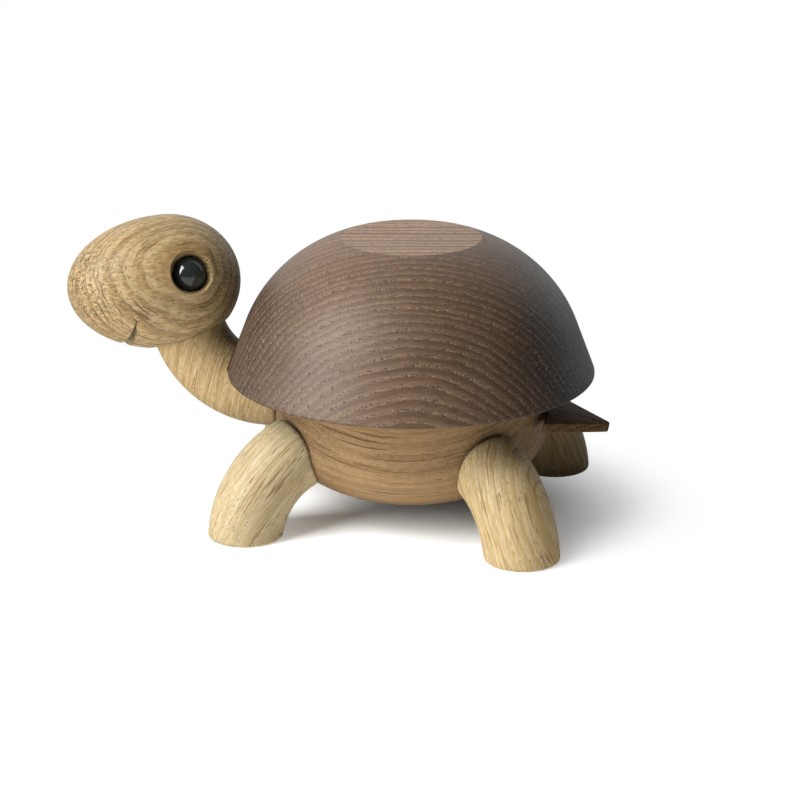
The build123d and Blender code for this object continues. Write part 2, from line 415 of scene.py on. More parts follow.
    shade = plus(centred(fibre, given["Fibre"]), centred(patch, given["Patch"]))
    # painted shade and light: the colour darkens steadily along the grain, so one end reads shaded and the
    # other lit
    shade = minus(shade, times(along, times(given["Painted Side Shade"], values["paintedSideShadeStep"])))
    shade = plus(shade, centred(fleck.outputs[0], fleckAmount))
    shade = minus(plus(shade, 1.0), times(given["End"], given["End Dark"]))
    # painted light on faces that look up: a positive amount lightens them as painted sheen, a negative one
    # darkens them as painted shade, more on early wood than on late wood
    paintedTop = ease(group, late, 0.0, 1.0, *values["paintedTopSpan"])
    shade = plus(shade, times(times(given["Face"], given["Painted Top Light"]), paintedTop))
    grey = group.nodes.new("ShaderNodeCombineXYZ")
    for socket in grey.inputs:
        group.links.new(shade, socket)
    colour = blend(group, late, given["Early"], given["Late"])
    colour = blend(group, 1.0, colour, grey.outputs[0], "MULTIPLY")
    colour = blend(group, sums(group, "MAXIMUM", rays, yearLine), colour, given["Pale"])
    colour = blend(group, streaks, colour, given["Pore"])
    pale = sums(group, "LESS_THAN", tint.outputs[0], given["Pale Share"])
    poreColour = blend(group, pale, given["Pore"], given["Pale"])
    colour = blend(group, times(pores, values["poreCover"]), colour, poreColour)
    link(group, colour, made["Color"])
    rough = plus(times(pores, values["poreRough"]), times(fibre, values["fibreRough"]))
    link(group, plus(rough, values["roughness"]), made["Roughness"])
    height = minus(times(fibre, values["fibreHeight"]), pores)
    height = plus(height, times(late, values["lateHeight"]))
    height = plus(height, times(fleck.outputs[0], times(given["Fleck"], values["fleckHeight"])))
    link(group, height, made["Height"])
    return group


solidWood = solidWoodGroup()


finishValues = {
    "bumpDistance": 0.0002,
    "endSpan": (0.3, 0.95),  # how squarely end grain faces out of the surface
    "faceSpan": (0.975, 0.995),  # how level a face is
    "thrownGrey": 0.8,  # light thrown off the wood is less warm
    "mirroredDark": 0.75,  # and the wood is darker in the beads
}
toMillimetres = 1000


def woodMaterial(name, finish):
    values = finishValues
    material, tree, shader = newMaterial(name)
    grain = Vector(finish["grainWay"]).normalized()
    ringsOut = Vector(finish["ringWay"])
    ringsOut = (ringsOut - grain * ringsOut.dot(grain)).normalized()
    toGrain = Matrix((grain, ringsOut, grain.cross(ringsOut)))
    centre = toGrain @ Vector(finish["centre"]) * toMillimetres
    where = tree.nodes.new("ShaderNodeTexCoord")
    turn = tree.nodes.new("ShaderNodeMapping")
    turn.inputs["Rotation"].default_value = toGrain.to_euler()
    turn.inputs["Scale"].default_value = [toMillimetres] * 3
    turn.inputs["Location"].default_value = Vector(finish["shift"]) - centre
    tree.links.new(where.outputs["Object"], turn.inputs["Vector"])
    wood = tree.nodes.new("ShaderNodeGroup")
    wood.node_tree = solidWood
    tree.links.new(turn.outputs["Vector"], wood.inputs["Place"])
    alongGrain = sums(tree, "ABSOLUTE", facing(tree, where.outputs["Normal"], grain))
    tree.links.new(ease(tree, alongGrain, *values["endSpan"]), wood.inputs["End"])
    # how squarely the surface looks up, for the painted top light
    upward = tree.nodes.new("ShaderNodeSeparateXYZ")
    tree.links.new(where.outputs["Normal"], upward.inputs[0])
    tree.links.new(ease(tree, upward.outputs["Z"], *values["faceSpan"]), wood.inputs["Face"])
    for label, value in finish["wood"].items():
        wood.inputs[label].default_value = value
    path = tree.nodes.new("ShaderNodeLightPath")
    plain = tree.nodes.new("ShaderNodeRGBToBW")
    tree.links.new(wood.outputs["Color"], plain.inputs[0])
    thrown = sums(tree, "MULTIPLY", path.outputs["Is Diffuse Ray"], values["thrownGrey"])
    colour = blend(tree, thrown, wood.outputs["Color"], plain.outputs[0])
    mirrored = sums(tree, "MULTIPLY", path.outputs["Is Glossy Ray"], values["mirroredDark"])
    tree.links.new(blend(tree, mirrored, colour, (0, 0, 0, 1)), shader.inputs["Base Color"])
    tree.links.new(wood.outputs["Roughness"], shader.inputs["Roughness"])
    bump = tree.nodes.new("ShaderNodeBump")
    bump.inputs["Strength"].default_value = finish["bump"]
    bump.inputs["Distance"].default_value = values["bumpDistance"]
    tree.links.new(wood.outputs["Height"], bump.inputs["Height"])
    tree.links.new(bump.outputs["Normal"], shader.inputs["Normal"])
    shader.inputs["Specular IOR Level"].default_value = finish["gloss"]
    return material


def linear(value):
    # one channel of a screen colour, made linear
    return value / 12.92 if value <= 0.04045 else ((value + 0.055) / 1.055) ** 2.4


def tone(red, green, blue):
    # a colour as it is read on screen
    return tuple(linear(value / 255) for value in (red, green, blue)) + (1,)


# camera: where the photograph was taken from
cameraValues = {
    "heading": 170.4,  # turtle's heading as the camera sees it, 180 is straight left
    "distance": 0.73663,
    "height": 0.27749,
    "yaw": -0.26,
    "pitch": 18.37,
    "lens": 115.795,  # this and the sensor in millimetres
    "sensor": 36,
    "clipStart": 0.01,
}


def addCamera():
    values = cameraValues
    turned = Matrix.Rotation(-math.radians(values["heading"]), 3, "Z")
    yaw, pitch = math.radians(values["yaw"]), math.radians(values["pitch"])
    level = Vector((math.sin(yaw), math.cos(yaw), 0)) * math.cos(pitch)
    look = turned @ (level - Vector((0, 0, math.sin(pitch))))
    right = turned @ Vector((math.cos(yaw), -math.sin(yaw), 0))
    up = right.cross(look)
    stand = turned @ Vector((0, -values["distance"], values["height"])) + Vector((axisX, 0, 0))
    data = bpy.data.cameras.new("photoCamera")
    data.lens = values["lens"]
    data.sensor_width = values["sensor"]
    data.clip_start = values["clipStart"]
    camera = bpy.data.objects.new("photoCamera", data)
    camera.matrix_world = Matrix.Translation(stand) @ Matrix((right, up, -look)).transposed().to_4x4()
    bpy.context.scene.collection.objects.link(camera)
    bpy.context.scene.camera = camera
    return turned


fromView = addCamera()  # turns a direction that the camera sees (right, away, up) into the frame
print("camera placed")

# shell
shellValues = {
    "rimBand": 0.0008,
    "rimRound": 0.0006,
    "underRound": 0.0004,
    "wallLean": 20.9,
    "wallRun": 0.0151,
    "wallSteps": 12,
    "domeSteps": 60,
    "topRadius": 0.0209,
    "topRound": 0.0010,
    "topRingShare": 0.6,  # a ring of points on the flat top
    "crownSlope": 17.0,
    "handleShare": 0.35,
    "seatDepth": 0.005,
    "seatRound": 0.0003,
    "around": 320,
}
shellFinish = {
    "grainWay": fromView @ Vector((1, 0, 0)),
    "ringWay": fromView @ Vector((0, 0.98, 0.18)),
    "centre": (axisX, 0, 0.045),
    "shift": (0, 55, 0),
    "bump": 0.6,
    "gloss": 0.8,
    "wood": {
        "Ring Width": 1.7,
        "Ring Growth": 0.005,
        "Pith Distance": 170.0,
        "Waver": 3.0,
        "Uneven": 0.6,
        "Pore Length": 1.1,
        "Pore Width": 0.32,
        "Pore Size": 0.55,
        "Stray Pores": 0.06,
        # half the pores are pale: painted glints of pore walls catching light, partly pale filler
        "Pale Share": 0.5,
        "Ray Amount": 0.15,
        "Ray Length": 2.0,
        "Fibre": 0.5,
        "Patch": 0.5,
        "Fleck": 0.35,
        "Fleck Length": 1.5,
        "Fleck Width": 0.4,
        # painted shade on the shell's right, the side away from the key, and painted light on its left
        "Painted Side Shade": 0.7,
        "End Dark": 0.86,
        # painted sheen on the flat top, partly paler wood there
        "Painted Top Light": 1.35,
        "Streak Amount": 0.25,
        "Streak Length": 14.0,
        "Early": tone(129, 103, 80),
        "Late": tone(107, 80, 58),
        "Pore": tone(54, 38, 28),
        "Pale": tone(164, 140, 114),
    },
}


def bendPoint(handles, share):
    # a point on the curve that four handles give
    rest = 1 - share
    weights = (rest ** 3, 3 * share * rest ** 2, 3 * share * share * rest, share ** 3)
    return sum((handle * weight for handle, weight in zip(handles, weights)), Vector((0, 0)))


def makeShell():
    values = shellValues
    top, seat = shellHigh.z, rimHeight + values["seatDepth"]
    lean, slope = math.radians(values["wallLean"]), math.radians(values["crownSlope"])
    wallWay = Vector((-math.sin(lean), math.cos(lean)))
    crownWay = Vector((math.cos(slope), -math.sin(slope)))
    foot = Vector((shellRadius, rimHeight + values["rimBand"]))
    wallHead = foot + wallWay * values["wallRun"]
    crown = Vector((values["topRadius"], top))
    handle = (crown - wallHead).length * values["handleShare"]
    bend = (wallHead, wallHead + wallWay * handle, crown + crownWay * handle, crown)
    wallSteps, domeSteps = values["wallSteps"], values["domeSteps"]
    wall = [foot + (wallHead - foot) * (step / wallSteps) for step in range(1, wallSteps)]
    dome = [bendPoint(bend, step / domeSteps) for step in range(domeSteps)]
    inner = bodyRadius + glueGap
    corners = [
        (0, seat, 0),
        (inner, seat, values["seatRound"]),
        (inner, rimHeight, values["underRound"]),
        (shellRadius, rimHeight, values["underRound"]),
        (foot.x, foot.y, values["rimRound"]),
        *((point.x, point.y, 0) for point in wall + dome),
        (crown.x, crown.y, values["topRound"]),
        (values["topRingShare"] * crown.x, top, 0),
        (0, top, 0),
    ]
    shell = meshObject("shellDome", latheMesh(roundedOutline(corners), axisPlace, values["around"]))
    return finishPiece(shell, "base", "shell", woodMaterial("smokedAsh", shellFinish))


makeShell()
print("shell turned")

# body
bodyValues = {
    "wallFoot": 0.0256,
    "bowlDepth": 0.0216,
    "bowlSteps": 48,
    "flatRadius": 0.011,
    "flatRound": 0.001,
    "topRound": 0.0005,
}
bodyFinish = {
    "grainWay": fromView @ Vector((1, 0, 0.03)),
    "ringWay": fromView @ Vector((0, -0.2, 1)),
    "centre": (axisX, 0, 0.025),
    "shift": (0, 0, 0),
    "bump": 0.5,
    "gloss": 0.2,
    "wood": {
        "Ring Width": 3.4,
        "Pith Distance": 140.0,
        "Waver": 2.5,
        "Pale Share": 0.0,
        "Pore Length": 26.0,
        "Pore Width": 1.1,
        "Pore Size": 0.1,
        "Stray Pores": 0.08,
        "Streak Amount": 0.7,
        "Streak Length": 34.0,
        "Ray Amount": 0.12,
        "Ray Length": 3.0,
        "Fibre": 0.35,
        "Patch": 0.35,
        "Fleck": 0.35,
        "Fleck Length": 1.6,
        "Fleck Width": 0.42,
        "End Dark": 0.2,
        "Early": tone(177, 145, 105),
        "Late": tone(166, 134, 95),
        "Pore": tone(92, 58, 34),
        "Pale": tone(204, 174, 134),
    },
}


def bodyReach(height):
    # radius of the body's outside at a height
    drop = max(bodyValues["wallFoot"] - height, 0) / bodyValues["bowlDepth"]
    return bodyRadius * math.sqrt(max(1 - drop * drop, 0))


def makeBody():
    values = bodyValues
    flatAngle = math.acos(values["flatRadius"] / bodyRadius)
    bowl = []
    for step in range(values["bowlSteps"] + 1):
        angle = -flatAngle * (1 - step / values["bowlSteps"])
        height = values["wallFoot"] + values["bowlDepth"] * math.sin(angle)
        bowl.append((bodyRadius * math.cos(angle), height, 0))
    edge, low = bowl[0][:2]
    top = bodyHigh.z
    corners = [(0, low, 0), (edge, low, values["flatRound"])] + bowl[1:]
    corners += [(bodyRadius, rimHeight, 0), (bodyRadius, top, values["topRound"]), (0, top, 0)]
    body = meshObject("bodyBowl", latheMesh(roundedOutline(corners), axisPlace))
    return finishPiece(body, "base", "body", woodMaterial("bodyOak", bodyFinish))


makeBody()
print("body turned")

# legs and neck: the same round stock
limbValues = {
    "radius": 0.0111,
    "footCircle": 0.0560,
    "footLean": 5.3,
    "footRound": 0.0008,
    "legBend": 0.0273,
    "rootRound": 0.0013,
    "rootWedge": 0.0008,  # how far the top of a leg stands off the body
    "legs": {"front_left": 38.8, "front_right": -38.8, "rear_left": 134.5, "rear_right": 225.5},
    "neckRoot": 0.0341,
    "neckInset": 0.0111,
    "neckBend": 0.0257,
    "neckRound": 0.0005,
    "searchStart": 0.004,  # along the stock, where the search for the body begins
    "legSearch": 0.02,  # and how far past the bend it goes
    "neckSearch": 0.03,
}
oakLimb = {
    "Ring Width": 2.6,
    "Pith Distance": 60.0,
    "Waver": 2.0,
    "Pale Share": 0.1,
    "Pore Length": 10.0,
    "Pore Width": 0.45,
    "Pore Size": 0.25,
    "Stray Pores": 0.14,
    "Streak Amount": 0.7,
    "Streak Length": 12.0,
    "Ray Amount": 0.1,
    "Ray Length": 2.0,
    "Fibre": 0.4,
    "Patch": 0.25,
    "Fleck": 0.33,
    "Fleck Length": 2.6,
    "Fleck Width": 0.4,
    "End Dark": 0.15,
    "Early": tone(224, 203, 162),
    "Late": tone(207, 181, 132),
    "Pore": tone(146, 113, 70),
    "Pale": tone(240, 226, 194),
}
legFinish = {
    "centre": (0.046, 0, 0.018),  # these three are in the leg's own plane
    "grainWays": {"front": (-0.72, 0, 0.70), "rear": (-0.45, 0, 0.89)},
    "ringWays": {"front": (-0.36, 0.80, -0.38), "rear": (0.72, 0.60, 0.37)},
    "shifts": {
        "front_left": (0, 3, 0),
        "front_right": (40, 4, 0),
        "rear_left": (80, 1, 0),
        "rear_right": (120, 5, 0),
    },
    # rear_right, the far rear leg, is darker than the other legs: painted shade
    "tones": {
        "front_left": (tone(211, 192, 154), tone(200, 178, 134)),
        "front_right": (tone(226, 206, 168), tone(210, 186, 140)),
        "rear_left": (tone(217, 193, 147), tone(204, 176, 125)),
        "rear_right": (tone(204, 177, 128), tone(188, 157, 104)),
    },
    "bump": 0.5,
    "gloss": 0.4,
}
neckFinish = {
    "grainWay": (-0.25, 0.1, 0.96),
    "ringWay": (0.86, -0.1, 0.25),
    "centre": (neckEnd.x - 0.01, 0, 0.04),
    "shift": (0, 0, 0),
    "bump": 0.5,
    "gloss": 0.2,
    "wood": dict(oakLimb, Early=tone(212, 186, 138), Late=tone(196, 166, 117)),
}


def stopAtBody(route, radius, start, end, place, steps=200, halvings=40):
    # for each line along the stock, the length at which it meets the body
    def stop(angle):
        def gap(along):
            middle, outer, side = route(along)
            point = place @ (middle + (outer * math.cos(angle) + side * math.sin(angle)) * radius)
            return math.hypot(point.x - axisX, point.y) - bodyReach(point.z) - glueGap
        low = start
        stations = (start + (end - start) * step / steps for step in range(1, steps + 1))
        high = next(station for station in stations if gap(station) < 0)
        for _ in range(halvings):
            half = (low + high) / 2
            low, high = (half, high) if gap(half) > 0 else (low, half)
        return high
    return stop


def legRoute(along):
    # from the floor up and round into the body, in the leg's own plane
    values = limbValues
    lean = math.radians(values["footLean"])
    turned = math.pi / 2 - lean - along / values["legBend"]
    bend = max(turned, 0)
    over = (bend - turned) * values["legBend"]
    root = values["legBend"] * (1 - math.sin(lean))
    start = values["footCircle"] - values["legBend"] * math.cos(lean)
    reach = start + values["legBend"] * math.sin(bend) - over
    rise = root - values["legBend"] * (1 - math.cos(bend))
    return Vector((reach, 0, rise)), Vector((math.sin(bend), 0, math.cos(bend))), sideWay


def legFoot(angle, reach):
    # length along the leg at which a line of its surface leaves the floor
    values = limbValues
    lean = math.radians(values["footLean"])
    meets = math.acos(values["legBend"] * math.sin(lean) / (values["legBend"] + reach * math.cos(angle)))
    return (math.pi / 2 - lean - meets) * values["legBend"]


def makeLegs():
    values = limbValues
    bendLength = values["legBend"] * (math.pi / 2 - math.radians(values["footLean"]))
    search = (values["searchStart"], bendLength + values["legSearch"])
    coped = stopAtBody(legRoute, values["radius"], *search, axisPlace)
    rounds = (values["footRound"], values["rootRound"])

    def stop(angle):
        return coped(angle) - values["rootWedge"] * max(math.cos(angle), 0) ** 2

    for name, angle in values["legs"].items():
        place = axisPlace @ Matrix.Rotation(math.radians(angle), 4, "Z")
        turn, kind = place.to_3x3(), name.split("_")[0]
        early, late = legFinish["tones"][name]
        finish = dict(
            legFinish,
            grainWay=turn @ Vector(legFinish["grainWays"][kind]),
            ringWay=turn @ Vector(legFinish["ringWays"][kind]),
            centre=place @ Vector(legFinish["centre"]),
            shift=legFinish["shifts"][name],
            wood=dict(oakLimb, Early=early, Late=late),
        )
        mesh = elbowMesh(legRoute, values["radius"], legFoot, stop, rounds)
        bmesh.ops.transform(mesh, matrix=place, verts=mesh.verts)
        leg = meshObject("leg." + name, mesh)
        finishPiece(leg, "base", "leg_" + name, woodMaterial("legOak." + name, finish))


def makeNeck():
    values = limbValues
    bendStart = shellRadius - values["neckInset"] + axisX
    bendAngle = math.atan2(pinWay.z, pinWay.x)
    bendLength = values["neckBend"] * bendAngle

    def route(along):
        angle = max(bendAngle - along / values["neckBend"], 0)
        over = max(along - bendLength, 0)
        reach = bendStart + values["neckBend"] * math.sin(angle) - over
        rise = values["neckRoot"] + values["neckBend"] * (1 - math.cos(angle))
        return Vector((reach, 0, rise)), Vector((math.sin(angle), 0, -math.cos(angle))), sideWay

    search = (values["searchStart"], bendLength + values["neckSearch"])
    stop = stopAtBody(route, values["radius"], *search, Matrix.Identity(4))
    rounds = (values["neckRound"], values["rootRound"])
    mesh = elbowMesh(route, values["radius"], lambda angle, reach: 0, stop, rounds)
    neck = meshObject("neckElbow", mesh)
    floor, below = rimHeight - glueGap, shellValues["rimBand"] + glueGap
    lean, rise = math.tan(math.radians(shellValues["wallLean"])), shellValues["wallRun"] + below
    outer = shellRadius + glueGap + below * lean  # the notch follows the shell's wall
    notch = [(0, floor), (outer, floor), (outer - rise * lean, floor + rise), (0, floor + rise)]
    cutPiece(neck, meshObject("notchCutter", latheMesh(notch, axisPlace)))
    return finishPiece(neck, "base", "neck", woodMaterial("neckOak", neckFinish))


makeLegs()
makeNeck()
print("legs and neck bent")

# head: an egg on its side with eyes, mouth cut and a flat seat
headValues = {
    "radius": 0.02019,
    "nose": 0.03099,
    "back": 0.0220,
    "lead": 0.0010,
    "rise": 0.0164,
    "pitch": 16.4,
    "turn": 34.4,
    "seatGap": 0.0002,
    "pinBore": 0.00305,
    "boreDepth": 0.0142,
    "mouthAlong": 0.0153,
    "mouthDrop": 0.0090,
    "mouthWidth": 0.0046,
    "mouthReachShare": 1.1,  # of the radius, so that the cut runs past the egg
    "seatCutRadius": 0.03,  # the seat's cutter, also past the egg
    "seatCutDepth": 0.02,
    "eggSteps": 160,
}
eyeValues = {
    "radius": 0.0052,
    "bulge": 0.0044,
    "wall": 0.0012,
    "edge": 0.0001,
    "ringShare": 0.6,  # a ring of points under the bead
    "domeSteps": 40,
    "along": -0.0019,
    "lift": 11.0,
    "recessRadius": 0.0072,
    "recessDepth": 0.0052,
    "floorRound": 0.0002,
    "wallRound": 0.0004,
    "lip": 0.0014,
    "lipRound": 0.0012,
    "overrun": 0.006,  # of the recess cutter, past the egg
}


def headPlace():
    # x to the nose, y to the turtle's left, z up through the egg
    values = headValues
    turned = pinPlace @ Matrix.Rotation(math.radians(values["turn"]), 4, "Z")
    lifted = turned @ Matrix.Translation((values["lead"], 0, values["rise"]))
    return lifted @ Matrix.Rotation(math.radians(-values["pitch"]), 4, "Y")


def eyePlace(side):
    # origin on the recess floor, z out of the head
    values = eyeValues
    lift = math.radians(values["lift"])
    ahead = Vector((1, 0, 0))
    out = Vector((0, side * math.cos(lift), math.sin(lift)))
    surface = headValues["radius"] * math.sqrt(1 - (values["along"] / headValues["back"]) ** 2)
    floor = ahead * values["along"] + out * (surface - values["recessDepth"])
    turn = Matrix((ahead, out.cross(ahead), out)).transposed().to_4x4()
    return headPlace() @ Matrix.Translation(floor) @ turn


headFinish = {
    "grainWay": headPlace().to_3x3() @ Vector((1, 0.08, 0)),
    "ringWay": headPlace().to_3x3() @ Vector((-0.08, 0.98, 0.19)),
    "centre": headPlace().translation,
    "shift": (0, 0, 0),
    "bump": 0.6,
    "gloss": 0.5,
    "wood": {
        "Ring Width": 2.2,
        "Line Amount": 0.5,
        "Pith Distance": 90.0,
        "Waver": 4.5,
        "Uneven": 1.3,
        "Pale Share": 0.3,
        "Pore Length": 2.4,
        "Pore Width": 0.5,
        "Pore Size": 0.3,
        "Stray Pores": 0.06,
        "Streak Amount": 0.9,
        "Streak Length": 9.0,
        "Ray Amount": 0.4,
        "Ray Length": 2.2,
        "Fibre": 0.4,
        "Patch": 0.25,
        "Fleck": 0.75,
        "Fleck Length": 2.0,
        "Fleck Width": 0.6,
        "End Dark": 0.24,
        "Early": tone(199, 172, 126),
        "Late": tone(172, 141, 93),
        "Pore": tone(132, 102, 64),
        "Pale": tone(226, 204, 164),
    },
}


def recessOutline():
    # snug round the bead, then wider up to the lip
    values = eyeValues
    floor, wall = values["radius"] + glueGap, values["wall"]
    deep, lip = values["recessDepth"], values["lip"]
    flare = (values["recessRadius"] - floor) / (deep - wall)
    throat = floor + flare * (deep - lip - wall)
    past = deep + values["overrun"]
    corners = [
        (0, 0, 0),
        (floor, 0, values["floorRound"]),
        (floor, wall, values["wallRound"]),
        (throat, deep - lip, values["lipRound"]),
        (throat + lip, deep + lip, 0),
        (throat + lip, past, 0),
        (0, past, 0),
    ]
    return roundedOutline(corners)


def mouthWedge(place):
    # a wedge right across the egg, with its edge up
    values = headValues
    reach, half = values["radius"] * values["mouthReachShare"], values["mouthWidth"] / 2
    along = values["mouthAlong"]
    corners = ((along, -values["mouthDrop"]), (along - half, -reach), (along + half, -reach))
    mesh = bmesh.new()
    ends = [[mesh.verts.new(place @ Vector((x, y, z))) for x, z in corners] for y in (-reach, reach)]
    mesh.faces.new(ends[0])
    mesh.faces.new(reversed(ends[1]))
    for index in range(len(corners)):
        after = (index + 1) % len(corners)
        mesh.faces.new((ends[0][index], ends[0][after], ends[1][after], ends[1][index]))
    return mesh


def makeHead():
    values = headValues
    place = headPlace()
    outline = []
    for step in range(values["eggSteps"] + 1):
        angle = math.pi * step / values["eggSteps"]
        length = values["nose"] if angle < math.pi / 2 else values["back"]
        outline.append((values["radius"] * math.sin(angle), length * math.cos(angle)))
    alongX = Matrix.Rotation(math.pi / 2, 4, "Y")  # lathe axis onto the nose line
    head = meshObject("headEgg", latheMesh(outline, place @ alongX, 192))
    gap, bore, deep = values["seatGap"], values["pinBore"], values["boreDepth"]
    wide, low = values["seatCutRadius"], -values["seatCutDepth"]
    seat = [(0, low), (wide, low), (wide, gap), (bore, gap), (bore, deep), (0, deep)]
    cutPiece(head, meshObject("seatCutter", latheMesh(seat, pinPlace, 64)))
    for side in (1, -1):
        cutPiece(head, meshObject("recessCutter", latheMesh(recessOutline(), eyePlace(side), 128)))
    cutPiece(head, meshObject("mouthCutter", mouthWedge(place)))
    return finishPiece(head, "head", "head", woodMaterial("headOak", headFinish))


makeHead()
print("head cut")

# eyes
eyeFinish = {
    "colour": tone(45, 50, 47),
    "cloud": tone(53, 58, 54),
    "cloudCell": 0.004,
    "cloudSpan": (0.35, 0.7),
    "roughness": 0.04,
    "scuff": 0.08,  # how much rougher a scuff is
    "scuffCell": 0.0006,
    "scuffSpan": (0.4, 0.8),
    "glass": 2.3,  # how strongly the bead mirrors
}


def eyeMaterial():
    finish = eyeFinish
    material, tree, shader = newMaterial("beadBlack")
    place = tree.nodes.new("ShaderNodeTexCoord").outputs["Object"]
    cloud = noise(tree, stretched(tree, place, *[finish["cloudCell"]] * 3), 3.0)
    cloud = ease(tree, cloud, *finish["cloudSpan"])
    tree.links.new(blend(tree, cloud, finish["colour"], finish["cloud"]), shader.inputs["Base Color"])
    scuff = noise(tree, stretched(tree, place, *[finish["scuffCell"]] * 3), 4.0, 0.7)
    smooth = finish["roughness"]
    rough = ease(tree, scuff, *finish["scuffSpan"], smooth, smooth + finish["scuff"])
    tree.links.new(rough, shader.inputs["Roughness"])
    shader.inputs["IOR"].default_value = finish["glass"]
    return material


def beadOutline():
    # a flat back, a short wall and a dome
    values = eyeValues
    radius, bulge, edge, steps = values["radius"], values["bulge"], values["edge"], values["domeSteps"]
    dome = bulge - values["wall"]
    ball = (radius * radius + dome * dome) / (2 * dome)
    middle = glueGap + bulge - ball
    start = math.asin((ball - dome) / ball)
    outline = [(0, glueGap), (values["ringShare"] * radius, glueGap)]
    outline += [(radius - edge, glueGap), (radius, glueGap + edge)]
    for step in range(steps):
        angle = start + (math.pi / 2 - start) * step / steps
        outline.append((ball * math.cos(angle), middle + ball * math.sin(angle)))
    return outline + [(0, glueGap + bulge)]


def makeEyes():
    black = eyeMaterial()
    for name, side in (("left", 1), ("right", -1)):
        eye = meshObject("eyeBead." + name, latheMesh(beadOutline(), eyePlace(side), 96))
        finishPiece(eye, "head", "eye_" + name, black)


makeEyes()
print("eyes set")

# tail
tailValues = {
    "length": 0.0201,
    "drop": 0.0133,
    "droop": 10.7,
    "halfAngle": 38.0,
    "halfWidth": 0.0142,
    "thickness": 0.003,
    "tipRound": 0.0012,
    "tipSteps": 8,
    "edgeRound": 0.0005,
    "edgeSteps": 4,
    "cornerLimit": 0.3,  # keeps the inset of a sharp corner short
    "tongueWidth": 0.009,
    "tongueDepth": 0.008,
    "heel": 0.0013,  # how far the base is drawn on towards the body
}
tailFinish = {
    "grainWay": (1, 0, 0.15),
    "ringWay": (0, 0.5, 1),
    "centre": (axisX - 0.05, 0, 0.03),
    "shift": (11, 0, 7),
    "bump": 0.5,
    "gloss": 0.03,
    "wood": {
        **shellFinish["wood"],
        "Painted Side Shade": 0.0,
        "End Dark": 0.6,
        "Pale Share": 0.2,
        # painted shade on the tail's top, which lies under the shell
        "Painted Top Light": -1.2,
        "Early": tone(158, 128, 90),
        "Late": tone(132, 103, 68),
        "Pore": tone(50, 38, 26),
        "Pale": tone(140, 120, 90),
    },
}


def tailOutline():
    # round the tip, along the right edge to the base, round the tongue and back on the left
    values = tailValues
    half, tipRound, steps = math.radians(values["halfAngle"]), values["tipRound"], values["tipSteps"]
    middle = tipRound / math.sin(half)
    outline = []
    for step in range(steps + 1):
        angle = math.pi + (math.pi / 2 - half) * (2 * step / steps - 1)
        outline.append(Vector((middle + tipRound * math.cos(angle), tipRound * math.sin(angle))))
    width, tongue = values["halfWidth"], values["tongueWidth"] / 2
    base = width / math.tan(half)
    heel = base + values["heel"]
    deep = values["length"] / math.cos(math.radians(values["droop"])) + values["tongueDepth"]
    right = ((base, -width), (heel, -width), (heel, -tongue), (deep, -tongue))
    left = ((x, -y) for x, y in reversed(right))
    return outline + [Vector(point) for point in (*right, *left)]


def insetWays(outline, limit):
    # at each point, the way in that keeps both of its edges parallel
    ways = []
    for index, here in enumerate(outline):
        before = (here - outline[index - 1]).normalized()
        after = (outline[(index + 1) % len(outline)] - here).normalized()
        both = before + after
        normal = Vector((-both.y, both.x)).normalized()
        ways.append(normal / max(normal.dot(Vector((-before.y, before.x))), limit))
    return ways


def makeTail():
    values = tailValues
    droop = math.radians(values["droop"])
    tip = Vector((axisX - bodyRadius - values["length"], 0, rimHeight - values["drop"]))
    inward = Vector((math.cos(droop), 0, math.sin(droop)))
    turn = Matrix((inward, sideWay, inward.cross(sideWay))).transposed().to_4x4()
    place = Matrix.Translation(tip) @ turn
    outline = tailOutline()
    ways = insetWays(outline, values["cornerLimit"])
    edge = edgeSteps(values["edgeRound"], values["edgeSteps"])
    levels = [(-along, inset) for along, inset in edge]
    levels += [(along - values["thickness"], inset) for along, inset in reversed(edge)]
    mesh = bmesh.new()
    loops = []
    for level, inset in levels:
        flat = [point + way * inset for point, way in zip(outline, ways)]
        loops.append([mesh.verts.new(place @ Vector((spot.x, spot.y, level))) for spot in flat])
    mesh.faces.new(loops[0])
    mesh.faces.new(reversed(loops[-1]))
    for upper, lower in zip(loops, loops[1:]):
        for index in range(len(outline)):
            after = (index + 1) % len(outline)
            mesh.faces.new((upper[after], upper[index], lower[index], lower[after]))
    tail = meshObject("tailPlate", mesh)
    return finishPiece(tail, "base", "tail", woodMaterial("smokedTail", tailFinish), 30)


makeTail()
print("tail shaped")

# dowels and pin stay as the frame has them, inside the joints
dowelFinish = {
    "grainWay": (1, 0, 0),
    "ringWay": (0, 0, 1),
    "centre": (0, 0, 0),
    "shift": (0, 0, 0),
    "bump": 0.3,
    "gloss": 0.3,
    "wood": {**oakLimb, "Ring Width": 2.2, "Pore Length": 4.0},
}
rawDowel = woodMaterial("rawDowel", dowelFinish)
for name, node in frame["nodes"].items():
    if "dowel" in name or name == "head_pin":
        node.data.materials.clear()
        node.data.materials.append(rawDowel)
print("dowels finished")

# floor, backdrop and light
stageValues = {
    "floorSize": 3.0,
    "floorParts": 24,
    "floorDrop": 0.0001,  # just under the feet
    "floorColour": (tone(220, 220, 220), tone(226, 226, 226)),
    "floorCell": 0.01,
    "floorRoughness": 0.9,
    "floorGlow": 0.35,  # of the far floor in reflections
    "seenGain": 2.0,  # how bright the lit floor looks to the camera
    "shadowShift": (0.002, -0.008),  # of the shaded patch, right and away from the camera
    "shadowNear": 0.026,
    "shadowFar": 0.092,
    "bounce": (0.62, 0.56, 0.46, 1),  # warm light from the floor before the figure
    "bounceWay": (-0.25, -0.97, 0),
    "bounceReach": 0.06,
    "ambient": 0.01,
    "roomGlow": 0.045,  # how bright the room behind the camera is in reflections
    "backdropSpan": (0.1, 0.8),  # from the room to the white backdrop
    "aimHeight": 0.04,
    "keyAround": 62.0,  # degrees left of the camera
    "keyLift": 31.0,
    "keyDistance": 1.1,
    "keyWidth": 0.78,
    "keyHeight": 1.2,
    "keyPower": 13.0,
    "fillAround": 70.0,
    "fillLift": 60.0,
    "fillDistance": 0.9,
    "fillWidth": 0.6,
    "fillHeight": 0.6,
    "fillPower": 3.0,
}


